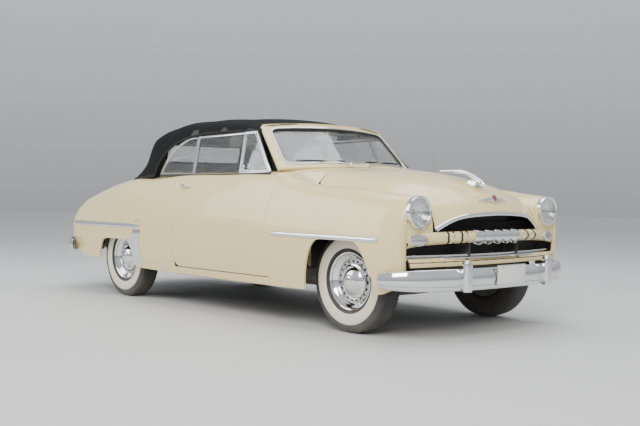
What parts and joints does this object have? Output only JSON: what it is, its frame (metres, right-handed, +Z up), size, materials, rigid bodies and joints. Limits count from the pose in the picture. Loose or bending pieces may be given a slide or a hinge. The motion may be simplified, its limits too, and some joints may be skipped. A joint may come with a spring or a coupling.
{
  "type": "family convertible car",
  "caption": "Two-door convertible car with the cloth top raised: opening doors, hood and trunk lid, steered front wheels, rolling whitewall tyres.",
  "frame": {"origin": "on the ground, halfway along the length and on the centreline", "axes": "+X forward (the way the car drives), +Y to the car's left, +Z up"},
  "size_m": [4.8025, 1.871, 1.5687],
  "materials": {
    "body_paint": "gloss pale cream enamel",
    "chrome": "bright plated",
    "glass": "clear, polished",
    "lamp_red": "red lens",
    "tyre": "black rubber with a broad white wall",
    "top_cloth": "black woven top cloth",
    "seat_trim": "satin, pleated",
    "engine_iron": "painted casting",
    "black_plastic": "moulded rim, gloss",
    "black_steel": "satin black chassis paint"
  },
  "bodies": {
    "body": {"chassis_frame": "black_steel", "floor_pan": "black_steel", "cowl": "body_paint", "front_structure": "black_steel", "fender_left": "body_paint", "fender_right": "body_paint", "quarter_left": "body_paint", "quarter_right": "body_paint", "sills": "body_paint", "deck_panel": "body_paint", "windshield_frame": "body_paint", "windshield_glass": "glass", "quarter_glass": "glass", "soft_top": "top_cloth", "top_bows": "black_steel", "rear_window": "glass", "front_bumper": "chrome", "rear_bumper": "chrome", "grille": "chrome", "headlights": "glass", "tail_lights": "lamp_red", "engine": "engine_iron", "rear_axle": "black_steel", "exhaust": "black_steel", "fuel_tank": "black_steel", "front_suspension": "black_steel", "front_seat": "seat_trim", "rear_seat": "seat_trim", "dashboard": "body_paint"},
    "hood": {"hood": "body_paint"},
    "trunk_lid": {"trunk_lid": "body_paint"},
    "door_left": {"door_left": "body_paint", "door_glass_left": "glass"},
    "door_right": {"door_right": "body_paint", "door_glass_right": "glass"},
    "knuckle_left": {"knuckle_left": "black_steel"},
    "knuckle_right": {"knuckle_right": "black_steel"},
    "steering_wheel": {"steering_wheel": "black_plastic"},
    "wheel_front_left": {"wheel_front_left": "chrome", "tyre_front_left": "tyre"},
    "wheel_front_right": {"wheel_front_right": "chrome", "tyre_front_right": "tyre"},
    "wheel_rear_left": {"wheel_rear_left": "chrome", "tyre_rear_left": "tyre"},
    "wheel_rear_right": {"wheel_rear_right": "chrome", "tyre_rear_right": "tyre"}
  },
  "joints": [
    {"name": "door_left_hinge", "type": "hinge", "parent": "body", "child": "door_left", "pos_m": [0.895, 0.918, 0.7], "axis": [0, 0, -1], "range_deg": [0, 68]},
    {"name": "door_right_hinge", "type": "hinge", "parent": "body", "child": "door_right", "pos_m": [0.895, -0.918, 0.7], "axis": [0, 0, 1], "range_deg": [0, 68]},
    {"name": "hood_hinge", "type": "hinge", "parent": "body", "child": "hood", "pos_m": [1.002, 0, 1.14], "axis": [0, -1, 0], "range_deg": [0, 48]},
    {"name": "trunk_hinge", "type": "hinge", "parent": "body", "child": "trunk_lid", "pos_m": [-1.346, 0, 1.058], "axis": [0, 1, 0], "range_deg": [0, 55]},
    {"name": "steer_left", "type": "hinge", "parent": "body", "child": "knuckle_left", "pos_m": [1.6415, 0.636, 0.353], "axis": [0, 0, 1], "range_deg": [-30, 30]},
    {"name": "steer_right", "type": "hinge", "parent": "body", "child": "knuckle_right", "pos_m": [1.6415, -0.636, 0.353], "axis": [0, 0, 1], "range_deg": [-30, 30]},
    {"name": "steering_wheel_turn", "type": "hinge", "parent": "body", "child": "steering_wheel", "pos_m": [0.59, 0.37, 0.968], "axis": [-0.8829, 0, 0.4695], "range_deg": [-540, 540]},
    {"name": "wheel_front_left_spin", "type": "hinge", "parent": "knuckle_left", "child": "wheel_front_left", "pos_m": [1.6415, 0.71, 0.353], "axis": [0, 1, 0], "continuous": true},
    {"name": "wheel_front_right_spin", "type": "hinge", "parent": "knuckle_right", "child": "wheel_front_right", "pos_m": [1.6415, -0.71, 0.353], "axis": [0, 1, 0], "continuous": true},
    {"name": "wheel_rear_left_spin", "type": "hinge", "parent": "body", "child": "wheel_rear_left", "pos_m": [-1.2545, 0.7425, 0.353], "axis": [0, 1, 0], "continuous": true},
    {"name": "wheel_rear_right_spin", "type": "hinge", "parent": "body", "child": "wheel_rear_right", "pos_m": [-1.2545, -0.7425, 0.353], "axis": [0, 1, 0], "continuous": true}
  ],
  "couplings": [
    {"joint": "steer_right", "follows": "steer_left", "ratio": 1}
  ]
}
